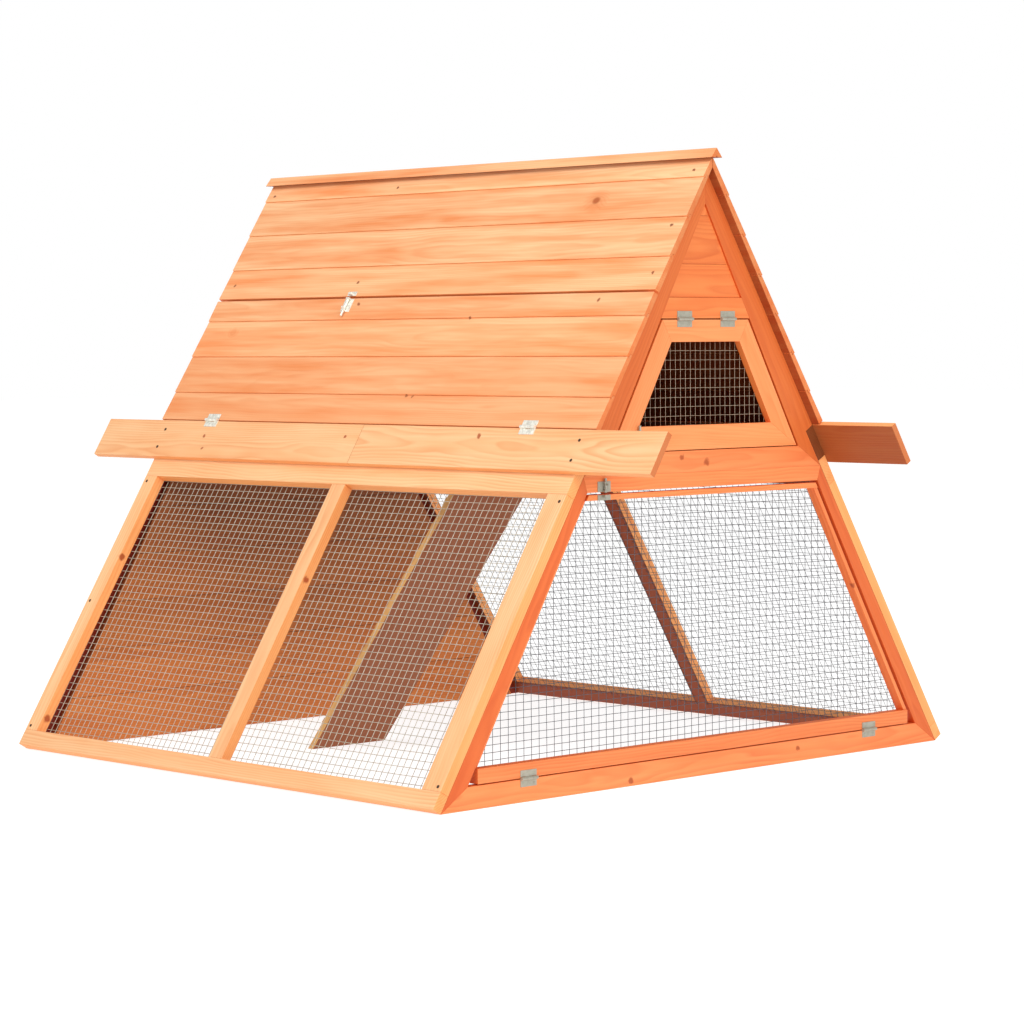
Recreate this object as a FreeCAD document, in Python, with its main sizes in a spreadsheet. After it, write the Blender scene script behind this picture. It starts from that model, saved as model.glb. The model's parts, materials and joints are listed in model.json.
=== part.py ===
import FreeCAD, Part
import os
import re

import Sketcher

# A-frame chicken coop: a mesh run below and a boarded house above, on one slope.
# X runs across the gables, Y along the ridge and Z up.  The front gable, with the
# run door and the hatch, faces -Y.  The origin is on the ground under the middle.
# A slope distance is measured up the outer plane of the frame from the ground, and a
# depth is measured inwards, square to that plane.

SIZES = {
    # overall
    "base_width": 1280,
    "gable_length": 1155,
    "handle_length": 1520,
    "slope_angle": 58.3,
    "cap_rise": 33.3,
    # lower module: side panels and gable frames round the run
    "panel_thick": 20,
    "gable_thick": 20,
    "run_height": 526,
    "side_bottom_rail": 31,
    "head_rail": 26,
    "panel_lap": 22,
    "front_stile": 45,
    "mid_stile": 36,
    "rear_stile": 35,
    "sill_height": 38,
    "leg_foot": 50,
    "leg_head": 41,
    "rear_board_thick": 12,
    "rear_board_lap": 6,
    "rear_board_pitch": 88,
    # upper module: the house
    "house_rail": 37,
    "rafter_foot": 51,
    "rafter_head": 41,
    "hatch_height": 224,
    "header_width": 36,
    "gable_first_board": 57,
    "gable_board_pitch": 83,
    "gable_board_thick": 10,
    "gable_recess": 3.5,
    "purlin_width": 32,
    "floor_thick": 10,
    "floor_clear": 1,
    "bearer_width": 30,
    "bearer_height": 16,
    # roof
    "handle_rise": 6,
    "handle_width": 80,
    "handle_thick": 12,
    "handle_joint": -8,
    "seam_gap": 2,
    "roof_butt": 12,
    "roof_thin": 10,
    "roof_tongue": 5,
    "roof_lap": 7,
    "roof_course": 80,
    "roof_overhang": 17,
    "left_first_course": 61,
    "right_first_course": 62,
    "upper_first_course": 67,
    "roof_door_height": 267,
    "split_gap": 4.5,
    "door_lift": 0.5,
    "batten_width": 30,
    "batten_thick": 16,
    "batten_clear": 8,
    "joint_gap": 0.3,
    "cap_width": 28,
    "cap_depth": 17,
    "cap_overhang": 27,
    # run door
    "door_side_gap": 5.2,
    "door_top_gap": 4,
    "hinge_seam": 2,
    "door_bottom_rail": 25,
    "door_top_rail": 9.5,
    "door_stile": 8,
    "door_depth": 20,
    "left_stile_recess": 12,
    "right_stile_recess": 2,
    # hatch
    "hatch_side_gap": 4,
    "hatch_sill_gap": 1.5,
    "hatch_top_rail": 38,
    "hatch_bottom_rail": 42,
    "hatch_stile": 37,
    "hatch_thick": 13,
    # ramp
    "ramp_angle": 50.8,
    "ramp_thick": 12,
    "ramp_width": 176,
    "ramp_centre": -174,
    "ramp_top": -252.7,
    "ramp_headroom": 200,
    "ramp_clear": 10,
    "cleat_width": 12,
    "cleat_height": 8,
    "cleat_pitch": 60,
    "cleat_inset": 8,
    # wire mesh
    "wire": 1,
    "mesh_lap": 8,
    "side_pitch_along": 15,
    "side_pitch_up": 14,
    "door_pitch_across": 17.5,
    "door_pitch_up": 12.7,
    "hatch_pitch_across": 12.5,
    "hatch_pitch_up": 16,
    # butt hinges
    "hinge_length": 36,
    "leaf_width": 10.5,
    "leaf_thick": 1.2,
    "barrel_radius": 3,
    "barrel_lift": 0.05,
    "pin_radius": 1.5,
    "pin_clear": 0.05,
    "knuckle_gap": 0.4,
    "door_hinge_offset": 430,
    "hatch_hinge_offset": 54,
    "roof_hinge_offset": 434,
    # barrel bolts
    "bolt_plate": 1.2,
    "rod_radius": 2.2,
    "rod_lift": 1,
    "rod_clear": 0.08,
    "keeper_clear": 0.5,
    "guide_length": 3,
    "guide_width": 9,
    "guide_height": 7.5,
    "knob_radius": 1.6,
    "knob_height": 7,
    "knob_clear": 0.5,
    "keeper_length": 9,
    "keeper_loop": 4,
    "rod_tip": 1,
    "roof_plate": 24,
    "roof_case": 28,
    "roof_reach": 7,
    "roof_throw": 12,
    "roof_bolt_along": 192,
    "door_plate": 30,
    "door_case": 17.5,
    "door_throw": 7,
    "door_bolt_edge": 0.5,
    "door_bolt_offset": -251,
    "hatch_plate": 16,
    "hatch_case": 34,
    "hatch_reach": 5,
    "hatch_throw": 10,
    "hatch_bolt_inset": 65,
    "bolt_edge": 2,
    # screws
    "screw_radius": 2.2,
    "screw_height": 0.7,
    "hinge_screw_spread": 13,
    "wood_screw_radius": 3,
}

# Values that follow from the sizes above.
FRAME = {
    "slope_sin": "sin(slope_angle)",
    "slope_cos": "cos(slope_angle)",
    "slope_tan": "tan(slope_angle)",
    # the panels stand on their inner lower corner, so their outer corner is lifted
    "panel_start": "panel_thick * slope_cos / slope_sin",
    "foot_x": "base_width / 2 + panel_start * slope_cos",
    "apex": "foot_x * slope_tan",
    "ridge_top": "apex + cap_rise",
    "cap_foot": "ridge_top - cap_depth",
    "ridge_slope": "foot_x / slope_cos",
    "front_y": "-gable_length / 2",
    "rear_y": "gable_length / 2",
    "inner_y": "gable_length / 2 - gable_thick",
    "run_head": "run_height - head_rail",
    "side_open_foot": "panel_start + side_bottom_rail",
    "side_open_head": "run_head / slope_sin",
    "panel_top": "run_height / slope_sin + panel_lap",
    "side_open_length": "(gable_length - front_stile - mid_stile - rear_stile) / 2",
    "mid_stile_y": "front_y + front_stile + side_open_length",
    "handle_foot": "run_height / slope_sin + handle_rise",
    "handle_head": "handle_foot + handle_width",
    "roof_start": "handle_head + seam_gap",
    "roof_seam": "handle_head + seam_gap / 2",
    "roof_split": "roof_start + roof_door_height",
    "upper_start": "roof_split + split_gap",
    "house_sill": "run_height + house_rail",
    "hatch_foot": "house_sill + hatch_sill_gap",
    "hatch_head": "house_sill + hatch_height",
    "header_foot": "hatch_head + hinge_seam",
    "header_head": "header_foot + header_width",
    "rafter_taper": "(rafter_foot - rafter_head) / hatch_height",
    "rafter_base": "rafter_foot + rafter_taper * house_sill",
    "inner_apex": "(foot_x - rafter_base / slope_sin) / (1 / slope_tan - rafter_taper / slope_sin)",
    "leg_taper": "(leg_foot - leg_head) / (run_head - sill_height)",
    "leg_base": "leg_foot + leg_taper * sill_height",
    "door_foot": "sill_height + hinge_seam",
    "door_head": "run_head - door_top_gap",
    "floor_top": "run_height + floor_thick",
    "floor_half": "foot_x - floor_top / slope_tan - panel_thick / slope_sin - floor_clear",
    "ramp_foot": "ramp_top + run_height / tan(ramp_angle)",
    "ramp_skin": "ramp_thick / sin(ramp_angle)",
    "hole_front": "ramp_top + ramp_skin",
    "hole_rear": "hole_front + ramp_headroom",
    "hole_left": "ramp_centre - ramp_width / 2 - ramp_clear",
    "hole_right": "ramp_centre + ramp_width / 2 + ramp_clear",
    "knuckle": "(hinge_length - 2 * knuckle_gap) / 3",
    "barrel_centre": "barrel_radius + barrel_lift",
    "leaf_start": "barrel_radius + 0.2",
    "leaf_middle": "leaf_start + leaf_width / 2",
    "rod_centre": "bolt_plate + rod_lift + rod_radius",
    "door_reach": "door_top_gap + 2 * door_bolt_edge",
}

doc = FreeCAD.newDocument("ChickenCoop")
nodes = {}


# ---------------------------------------------------------------- sheets and expressions

def make_sheet(name, cells):
    """A spreadsheet with one aliased cell for each entry."""
    sheet = doc.addObject("Spreadsheet::Sheet", name)
    for row, (alias, text) in enumerate(cells.items(), start=1):
        sheet.set(f"A{row}", alias)
        sheet.set(f"B{row}", str(text))
        sheet.setAlias(f"B{row}", alias)
    doc.recompute()
    return sheet


WORD = re.compile(r"[a-z_]+")


def bound(text):
    """An expression in which each named size points at its cell."""
    def cell(match):
        word = match.group(0)
        if word in SIZES:
            return "Sizes." + word
        if word in FRAME:
            return "Frame." + word
        return word
    return WORD.sub(cell, text)


sizes = make_sheet("Sizes", SIZES)
frame = make_sheet("Frame", {name: "=" + bound(text) for name, text in FRAME.items()})


def number(text):
    """The present value of an expression."""
    return float(frame.evalExpression(bound(text)))


def bind(thing, **expressions):
    """Binds properties to expressions; a double underscore stands for a dot."""
    for path, text in expressions.items():
        thing.setExpression(path.replace("__", "."), bound(text))


# ---------------------------------------------------------------- points of a gable outline

def on_slope(along, depth="0"):
    """A point of the right slope, at a slope distance and a depth."""
    return (f"foot_x - ({along}) * slope_cos - ({depth}) * slope_sin",
            f"({along}) * slope_sin - ({depth}) * slope_cos")


def at_level(height, depth="0"):
    """A point of the right slope, at a height and a depth."""
    return (f"foot_x - ({height}) / slope_tan - ({depth}) / slope_sin", height)


def leg_edge(height, inward="0"):
    """A point of the run doorway's right edge, or inward of it."""
    return at_level(height, f"leg_base - leg_taper * ({height}) + ({inward})")


def rafter_edge(height, inward="0"):
    """A point of the right rafter's inner edge, or inward of it."""
    return at_level(height, f"rafter_base - rafter_taper * ({height}) + ({inward})")


def mirrored(point):
    return (f"-({point[0]})", point[1])


def spanning(low, high):
    """A four-sided outline across the coop from a low and a high right-hand point."""
    return [mirrored(low), low, high, mirrored(high)]


# ---------------------------------------------------------------- building blocks

def plane_of(body, role):
    return next(o for o in body.Origin.OriginFeatures if o.Role == role)


def outline_sketch(body, role, points):
    """A closed outline whose corners are placed from the sheet."""
    sketch = body.newObject("Sketcher::SketchObject", body.Name + "_outline")
    sketch.AttachmentSupport = [(plane_of(body, role), "")]
    sketch.MapMode = "FlatFace"
    values = [FreeCAD.Vector(number(x), number(y), 0) for x, y in points]
    count = len(points)
    for i in range(count):
        sketch.addGeometry(Part.LineSegment(values[i], values[(i + 1) % count]), False)
    for i in range(count):
        sketch.addConstraint(Sketcher.Constraint("Coincident", i, 2, (i + 1) % count, 1))
    for i, point in enumerate(points):
        place_corner(sketch, i, "DistanceX", point[0], values[i].x, -2)
        place_corner(sketch, i, "DistanceY", point[1], values[i].y, -1)
    return sketch


def place_corner(sketch, corner, kind, text, value, axis):
    """Ties one coordinate of a corner to its expression, or to an axis when it is 0."""
    if text == "0":
        sketch.addConstraint(Sketcher.Constraint("PointOnObject", corner, 1, axis))
        return
    index = sketch.addConstraint(Sketcher.Constraint(kind, -1, 1, corner, 1, value))
    sketch.setExpression(f"Constraints[{index}]", bound(text))


def prism(name, points, start, end, role="XZ_Plane"):
    """A body padded along Y from a gable outline, or along X from a side outline."""
    body = doc.addObject("PartDesign::Body", name)
    sketch = outline_sketch(body, role, points)
    pad = body.newObject("PartDesign::Pad", name + "_pad")
    pad.Profile = sketch
    bind(pad, Length=f"({end}) - ({start})")
    if role == "XZ_Plane":
        bind(body, Placement__Base__y=end)
    else:
        bind(body, Placement__Base__x=start)
    return body


def box(name, low, high):
    """A box between two corners, each given as three expressions."""
    block = doc.addObject("Part::Box", name)
    for axis, size, a, b in zip("xyz", ("Length", "Width", "Height"), low, high):
        block.setExpression(size, bound(f"({b}) - ({a})"))
        block.setExpression(f"Placement.Base.{axis}", bound(a))
    return block


def cylinder(name, radius, length, base, axis):
    """A cylinder that starts at base and runs along +X, +Y or +Z."""
    turn = {"x": ((0, 1, 0), 90), "y": ((1, 0, 0), -90), "z": ((0, 0, 1), 0)}[axis]
    rod = doc.addObject("Part::Cylinder", name)
    rod.Placement.Rotation = FreeCAD.Rotation(FreeCAD.Vector(*turn[0]), turn[1])
    bind(rod, Radius=radius, Height=length)
    for letter, text in zip("xyz", base):
        rod.setExpression(f"Placement.Base.{letter}", bound(text))
    return rod


def mirror(name, source):
    """The same piece on the other side of the ridge."""
    other = doc.addObject("Part::Mirroring", name)
    other.Source = source
    other.Normal = (1, 0, 0)
    return other


def fuse(name, *shapes):
    whole = doc.addObject("Part::MultiFuse", name)
    whole.Shapes = list(shapes)
    return whole


def cut(name, base, tool):
    left = doc.addObject("Part::Cut", name)
    left.Base = base
    left.Tool = tool
    return left


def node(name, *pieces):
    """Names one sub-part, which may be a group of like pieces."""
    group = doc.addObject("Part::Compound", name)
    group.Label = name
    group.Links = list(pieces)
    nodes[name] = group
    return group


# ---------------------------------------------------------------- places on the coop's faces
# On a face, local x runs along it, local y up it and local z out of it.

FRONT = "placement(vector(0; front_y; 0); rotation(vector(1; 0; 0); 90))"
LEFT = ("placement(vector(-foot_x; 0; 0); rotation(vector(0; 1; 0); -slope_angle))"
        " * placement(vector(0; 0; 0); rotation(vector(0; 0; 1); -90))")
RIGHT = ("placement(vector(foot_x; 0; 0); rotation(vector(0; 1; 0); slope_angle))"
         " * placement(vector(0; 0; 0); rotation(vector(0; 0; 1); 90))")


def on_face(face, x, y, z="0", spin=0):
    return f"{face} * placement(vector({x}; {y}; {z}); rotation(vector(0; 0; 1); {spin}))"


def placed(name, master, placement):
    """A copy of a master piece at a place on a face."""
    link = doc.addObject("App::Link", name)
    link.LinkedObject = master
    link.LinkTransform = True
    link.setExpression("Placement", bound(placement))
    return link


# ---------------------------------------------------------------- run: side panels

def side_panel_rails():
    bottom = [on_slope("panel_start"), on_slope("side_open_foot"),
              on_slope("side_open_foot", "panel_thick"), on_slope("panel_start", "panel_thick")]
    top = [on_slope("side_open_head"), on_slope("panel_top"),
           on_slope("panel_top", "panel_thick"), on_slope("side_open_head", "panel_thick")]
    for part, outline in (("bottom", bottom), ("top", top)):
        rail = prism(f"right_{part}_rail_body", outline, "front_y", "rear_y")
        node(f"right_{part}_rail", rail)
        node(f"left_{part}_rail", mirror(f"left_{part}_rail_body", rail))


def side_panel_stiles():
    outline = [on_slope("side_open_foot"), on_slope("side_open_head"),
               on_slope("side_open_head", "panel_thick"),
               on_slope("side_open_foot", "panel_thick")]
    spans = {
        "front": ("front_y", "front_y + front_stile"),
        "mid": ("mid_stile_y", "mid_stile_y + mid_stile"),
        "rear": ("rear_y - rear_stile", "rear_y"),
    }
    right = [prism(f"right_{place}_stile", outline, *span) for place, span in spans.items()]
    node("right_stiles", *right)
    node("left_stiles", *[mirror(f"left_{place}_stile", piece)
                          for place, piece in zip(spans, right)])


# ---------------------------------------------------------------- run: gable frames

def run_gable(end, start_y, end_y):
    """Legs, sill rail and head rail of one end, mitred at the corners."""
    foot, sill = at_level("0", "panel_thick"), leg_edge("sill_height")
    head, top = leg_edge("run_head"), at_level("run_height", "panel_thick")
    leg = prism(f"{end}_right_leg", [foot, top, head, sill], start_y, end_y)
    node(f"{end}_legs", leg, mirror(f"{end}_left_leg", leg))
    node(f"{end}_run_rails",
         prism(f"{end}_sill_rail", spanning(foot, sill), start_y, end_y),
         prism(f"{end}_head_rail", spanning(head, top), start_y, end_y))


def steps(start, pitch, end, least="20"):
    """Board edges from start to end at a pitch; the last board takes what is left."""
    edges = [start]
    while number(end) - number(f"{start} + {len(edges)} * {pitch}") > number(least):
        edges.append(f"{start} + {len(edges)} * {pitch}")
    return edges + [end]


def rear_wall():
    """Solid boards on the inside of the rear gable frame, down to the ground."""
    edges = steps("floor_clear", "rear_board_pitch", "run_height - floor_clear")
    boards = []
    for i, (low, high) in enumerate(zip(edges, edges[1:])):
        outline = spanning(leg_edge(low, "-rear_board_lap"),
                           leg_edge(f"{high} - joint_gap", "-rear_board_lap"))
        boards.append(prism(f"rear_wall_board_{i}", outline,
                            "inner_y - rear_board_thick", "inner_y"))
    node("rear_wall_boards", *boards)


# ---------------------------------------------------------------- house: gables

def house_gable(end, start_y, end_y):
    """Rafters notched over the side rails, and the cross rail mitred between them."""
    foot, sill = at_level("run_height", "panel_thick"), rafter_edge("house_sill")
    outline = [foot, on_slope("handle_head", "panel_thick"), on_slope("handle_head"),
               ("0", "apex"), ("0", "inner_apex"), sill]
    rafter = prism(f"{end}_right_rafter", outline, start_y, end_y)
    node(f"{end}_rafters", rafter, mirror(f"{end}_left_rafter", rafter))
    node(f"{end}_cross_rail",
         prism(f"{end}_cross_rail_body", spanning(foot, sill), start_y, end_y))


def gable_board(name, low, high, start_y, end_y):
    """A board between the rafters; the top one is cut to their peak."""
    if high == "inner_apex":
        outline = [mirrored(rafter_edge(low)), rafter_edge(low), ("0", high)]
    else:
        outline = spanning(rafter_edge(low), rafter_edge(f"{high} - joint_gap"))
    return prism(name, outline, start_y, end_y)


def front_gable_boards():
    header = gable_board("header_board", "header_foot", "header_head",
                         "front_y", "front_y + gable_thick")
    first = "header_head + gable_first_board"
    edges = ["header_head"] + steps(first, "gable_board_pitch", "inner_apex", "15")
    face = "front_y + gable_recess"
    boards = [gable_board(f"front_gable_board_{i}", low, high,
                          face, f"{face} + gable_board_thick")
              for i, (low, high) in enumerate(zip(edges, edges[1:]))]
    node("front_gable_boards", header, *boards)


def rear_gable_boards():
    edges = steps("house_sill", "gable_board_pitch", "inner_apex")
    face = "rear_y - gable_recess"
    boards = [gable_board(f"rear_gable_board_{i}", low, high,
                          f"{face} - gable_board_thick", face)
              for i, (low, high) in enumerate(zip(edges, edges[1:]))]
    node("rear_gable_boards", *boards)


# ---------------------------------------------------------------- house: rails, purlin, floor

def house_side_rails():
    outline = [on_slope("panel_top + joint_gap"), on_slope("handle_head"),
               on_slope("handle_head", "panel_thick"),
               on_slope("panel_top + joint_gap", "panel_thick")]
    rail = prism("right_house_rail", outline, "front_y", "rear_y")
    node("house_side_rails", rail, mirror("left_house_rail", rail))


def purlin():
    """The stop that the roof door closes on, under the lower edge of the fixed roof."""
    low, high = "roof_split - purlin_width / 2", "roof_split + purlin_width / 2"
    outline = [on_slope(low, "door_lift"), on_slope(high, "door_lift"),
               on_slope(high, "panel_thick"), on_slope(low, "panel_thick")]
    right = prism("purlin_pattern", outline, "-inner_y", "inner_y")
    node("left_purlin", mirror("left_purlin_body", right))


def floor():
    """Sheets round the ramp hole, on bearers fixed inside the panels' top rails."""
    z0, z1 = "run_height", "floor_top"
    front, rear = "-inner_y + floor_clear", "inner_y - floor_clear"
    spans = {
        "front": ("-floor_half", "floor_half", front, "hole_front"),
        "left": ("-floor_half", "hole_left", "hole_front", "hole_rear"),
        "right": ("hole_right", "floor_half", "hole_front", "hole_rear"),
        "rear": ("-floor_half", "floor_half", "hole_rear", rear),
    }
    node("house_floor", *[box(f"floor_{place}", (x0, y0, z0), (x1, y1, z1))
                          for place, (x0, x1, y0, y1) in spans.items()])
    outer_low = at_level("run_height - bearer_height", "panel_thick")
    outer_high = at_level("run_height", "panel_thick")
    inner_x = f"{outer_high[0]} - bearer_width"
    outline = [outer_low, outer_high, (inner_x, outer_high[1]), (inner_x, outer_low[1])]
    bearer = prism("right_bearer", outline, "-inner_y", "inner_y - rear_board_thick - joint_gap")
    node("floor_bearers", bearer, mirror("left_bearer", bearer))


# ---------------------------------------------------------------- ramp

def ramp():
    """A plain board from the ground up to the front edge of the floor hole."""
    outline = [("ramp_foot", "0"), ("ramp_foot + ramp_skin", "0"),
               ("ramp_top + ramp_skin", "run_height"), ("ramp_top", "run_height")]
    left = "ramp_centre - ramp_width / 2"
    right = "ramp_centre + ramp_width / 2"
    node("ramp_board", prism("ramp_board_body", outline, left, right, "YZ_Plane"))
    cleats = []
    length = number("run_height / sin(ramp_angle)")
    for i in range(1, int(length / number("cleat_pitch"))):
        cleats.append(ramp_cleat(i, left, right))
    node("ramp_cleats", *cleats)


def ramp_cleat(i, left, right):
    """One cross batten on the walking side, a whole number of pitches up the ramp."""
    low, high = f"{i} * cleat_pitch", f"{i} * cleat_pitch + cleat_width"

    def corner(up, out):
        return (f"ramp_foot + ramp_skin - ({up}) * cos(ramp_angle) + ({out}) * sin(ramp_angle)",
                f"({up}) * sin(ramp_angle) + ({out}) * cos(ramp_angle)")

    outline = [corner(low, "0"), corner(low, "cleat_height"),
               corner(high, "cleat_height"), corner(high, "0")]
    return prism(f"ramp_cleat_{i}", outline, f"{left} + cleat_inset",
                 f"{right} - cleat_inset", "YZ_Plane")


# ---------------------------------------------------------------- roof

def roof_board(name, low, high, inner, lowest, top):
    """One course.  Its lip laps over the tongue of the course below.

    lowest is True where nothing lies below it, and top is "lap", "edge" or "ridge".
    A course beside a handle board is flush with it, as the hinges lie on both.
    """
    out = "-handle_thick" if low == "roof_start" else "-roof_butt"
    lip = "-(roof_tongue + joint_gap)"
    foot = low if lowest else f"{low} + roof_lap"
    outline = [on_slope(foot, inner)]
    if top == "lap":
        tip = f"{high} + roof_lap - joint_gap"
        outline += [on_slope(tip, inner), on_slope(tip, "-roof_tongue"),
                    on_slope(f"{high} - joint_gap", "-roof_tongue"),
                    on_slope(f"{high} - joint_gap", "-roof_thin")]
    elif top == "edge":
        outline += [on_slope(high, inner), on_slope(high, "-roof_butt")]
    else:
        half = "joint_gap / 2"
        outline += [(half, f"apex - {half} * slope_tan"),
                    (half, f"apex - {half} * slope_tan + roof_thin / slope_cos"),
                    at_level("cap_foot", "-roof_thin")]
    outline.append(on_slope(low, out))
    if not lowest:
        outline += [on_slope(low, lip), on_slope(foot, lip)]
    return prism(name, outline, "front_y - roof_overhang", "rear_y + roof_overhang")


def courses(side, start, first, end, inner, top):
    """The boards of one roof panel, from its lower edge up."""
    edges = [start]
    if number(end) - number(f"{start} + {first}") > number("roof_lap * 2"):
        edges = [start] + steps(f"{start} + {first}", "roof_course", end)[:-1]
    edges.append(end)
    boards = []
    for i, (low, high) in enumerate(zip(edges, edges[1:])):
        ending = top if high == end else "lap"
        boards.append(roof_board(f"{side}_course_{i}", low, high, inner, i == 0, ending))
    return boards


def roof():
    right = courses("right", "roof_start", "right_first_course", "ridge_slope", "0", "ridge")
    node("right_roof_boards", *right)
    upper = courses("upper", "upper_start", "upper_first_course", "ridge_slope", "0", "ridge")
    node("left_roof_boards", *[mirror(f"left_{b.Name}", b) for b in upper])
    lower = courses("lower", "roof_start", "left_first_course", "roof_split",
                    "-door_lift", "edge")
    node("roof_door_boards", *[mirror(f"door_{b.Name}", b) for b in lower])


def roof_door_battens():
    """Three battens that hold the roof door's boards together on the inside."""
    low = "roof_start + batten_clear"
    high = "roof_split - purlin_width / 2 - batten_clear"
    depth = "batten_thick - door_lift"
    outline = [on_slope(low, "-door_lift"), on_slope(high, "-door_lift"),
               on_slope(high, depth), on_slope(low, depth)]
    end = "inner_y - batten_clear"
    spans = {
        "front": (f"-({end})", f"-({end}) + batten_width"),
        "mid": ("-batten_width / 2", "batten_width / 2"),
        "rear": (f"{end} - batten_width", end),
    }
    patterns = {place: prism(f"batten_pattern_{place}", outline, *span)
                for place, span in spans.items()}
    node("roof_door_battens", *[mirror(f"batten_{place}", piece)
                                for place, piece in patterns.items()])


def ridge_cap():
    """A three-sided bar with a notch that sits on the ridge."""
    peak = "apex + roof_thin / slope_cos"
    notch = f"({peak} - cap_foot) / slope_tan"
    outline = [("0", "ridge_top"), ("cap_width / 2", "cap_foot"), (notch, "cap_foot"),
               ("0", peak), (f"-({notch})", "cap_foot"), ("-cap_width / 2", "cap_foot")]
    node("ridge_cap", prism("ridge_cap_body", outline,
                            "front_y - cap_overhang", "rear_y + cap_overhang"))


def handle_boards():
    """Carrying boards screwed over the side rails, each in two lengths."""
    outline = [on_slope("handle_foot"), on_slope("handle_head"),
               on_slope("handle_head", "-handle_thick"), on_slope("handle_foot", "-handle_thick")]
    front = prism("right_handle_front", outline, "-handle_length / 2", "handle_joint")
    rear = prism("right_handle_rear", outline, "handle_joint + joint_gap", "handle_length / 2")
    node("right_handle_boards", front, rear)
    node("left_handle_boards", mirror("left_handle_front", front),
         mirror("left_handle_rear", rear))


# ---------------------------------------------------------------- run door

def run_door():
    """A drop-down mesh door of thin battens; its stiles are set back from its rails."""
    back = "front_y + door_depth"
    rail_top, rail_low = "door_foot + door_bottom_rail", "door_head - door_top_rail"
    reach = leg_edge(rail_top, "door_side_gap")[0]
    bottom = [(f"-({reach})", "door_foot"), (reach, "door_foot"),
              (reach, rail_top), (f"-({reach})", rail_top)]
    top = spanning(leg_edge(rail_low, "door_side_gap"), leg_edge("door_head", "door_side_gap"))
    node("run_door_rails", prism("run_door_bottom_rail", bottom, "front_y", back),
         prism("run_door_top_rail", top, "front_y", back))
    right = [leg_edge(rail_top, "door_side_gap"), leg_edge(rail_low, "door_side_gap"),
             leg_edge(rail_low, "door_side_gap + door_stile"),
             leg_edge(rail_top, "door_side_gap + door_stile")]
    left = [mirrored(point) for point in right]
    node("run_door_stiles",
         prism("run_door_right_stile", right, "front_y + right_stile_recess", back),
         prism("run_door_left_stile", left, "front_y + left_stile_recess", back))


# ---------------------------------------------------------------- hatch

def hatch():
    """A top-hung mesh window in the house gable, mitred at its corners."""
    back = "front_y + hatch_thick"
    outer_low = rafter_edge("hatch_foot", "hatch_side_gap")
    outer_high = rafter_edge("hatch_head", "hatch_side_gap")
    inset = "hatch_side_gap + hatch_stile"
    window_low = rafter_edge("hatch_foot + hatch_bottom_rail", inset)
    window_high = rafter_edge("hatch_head - hatch_top_rail", inset)
    node("hatch_rails",
         prism("hatch_bottom_rail_body", spanning(outer_low, window_low), "front_y", back),
         prism("hatch_top_rail_body", spanning(window_high, outer_high), "front_y", back))
    stile = prism("hatch_right_stile", [outer_low, outer_high, window_high, window_low],
                  "front_y", back)
    node("hatch_stiles", stile, mirror("hatch_left_stile", stile))


# ---------------------------------------------------------------- wire mesh
# Upright wires lie on the wood and level wires lie on them.  How many there are depends
# on the opening, so a mesh is made in code from the sheet's values.

def spread(low, high, pitch):
    """Places for wires at a pitch, centred between low and high."""
    count = int((high - low) / pitch)
    start = (low + high - count * pitch) / 2
    return [start + i * pitch for i in range(count + 1)]


def wire_mesh(name, face, foot, head, width_at, pitches, depth):
    """A mesh between two heights of a face; width_at gives its ends at a height."""
    wire, back = number("wire"), -number(depth)
    low, high = number(foot), number(head)
    wires = []
    left, right = width_at(low)
    for x in spread(left + wire, right - wire, number(pitches[0])):
        top = wire_reach(x, low, high, width_at)
        if top - low > number("mesh_lap"):
            wires.append(Part.makeBox(wire, top - low, wire,
                                      FreeCAD.Vector(x - wire / 2, low, back - wire)))
    for y in spread(low + wire, high - wire, number(pitches[1])):
        left, right = width_at(y)
        wires.append(Part.makeBox(right - left, wire, wire,
                                  FreeCAD.Vector(left, y - wire / 2, back - 2 * wire)))
    mesh = doc.addObject("Part::Feature", name)
    mesh.Shape = Part.makeCompound(wires)
    mesh.Placement = frame.evalExpression(bound(face))
    mesh.Label = name
    nodes[name] = mesh


def wire_reach(x, low, high, width_at):
    """How high an upright wire at x runs before it meets the mesh's slanting edge."""
    left, right = width_at(high)
    if left <= x <= right:
        return high
    foot_left, foot_right = width_at(low)
    near, far = (left, foot_left) if x < left else (right, foot_right)
    return high - (high - low) * (x - near) / (far - near)


def side_meshes():
    front = ("front_y + front_stile - mesh_lap", "mid_stile_y + mesh_lap")
    rear = ("mid_stile_y + mid_stile - mesh_lap", "rear_y - rear_stile + mesh_lap")
    for place, (start, end) in (("front", front), ("rear", rear)):
        for side, face, sign in (("left", LEFT, -1), ("right", RIGHT, 1)):
            ends = sorted((sign * number(start), sign * number(end)))
            wire_mesh(f"{side}_{place}_mesh", face, "side_open_foot - mesh_lap",
                      "side_open_head + mesh_lap", lambda height, ends=ends: ends,
                      ("side_pitch_along", "side_pitch_up"), "panel_thick")


def gable_mesh(name, edge, inset, foot, head, pitches, depth):
    """A mesh that narrows with the gable."""
    def ends(height):
        half = number(edge(str(height), inset)[0])
        return -half, half
    wire_mesh(name, FRONT, foot, head, ends, pitches, depth)


def gable_meshes():
    gable_mesh("run_door_mesh", leg_edge, "door_side_gap + wire * 2",
               "door_foot + door_bottom_rail - mesh_lap", "door_head - door_top_rail + mesh_lap",
               ("door_pitch_across", "door_pitch_up"), "door_depth")
    gable_mesh("hatch_mesh", rafter_edge, "hatch_side_gap + hatch_stile - mesh_lap",
               "hatch_foot + hatch_bottom_rail - mesh_lap",
               "hatch_head - hatch_top_rail + mesh_lap",
               ("hatch_pitch_across", "hatch_pitch_up"), "hatch_thick")


# ---------------------------------------------------------------- butt hinges
# Local x runs along the pin, y from the fixed leaf to the moving one and z outwards.

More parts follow.
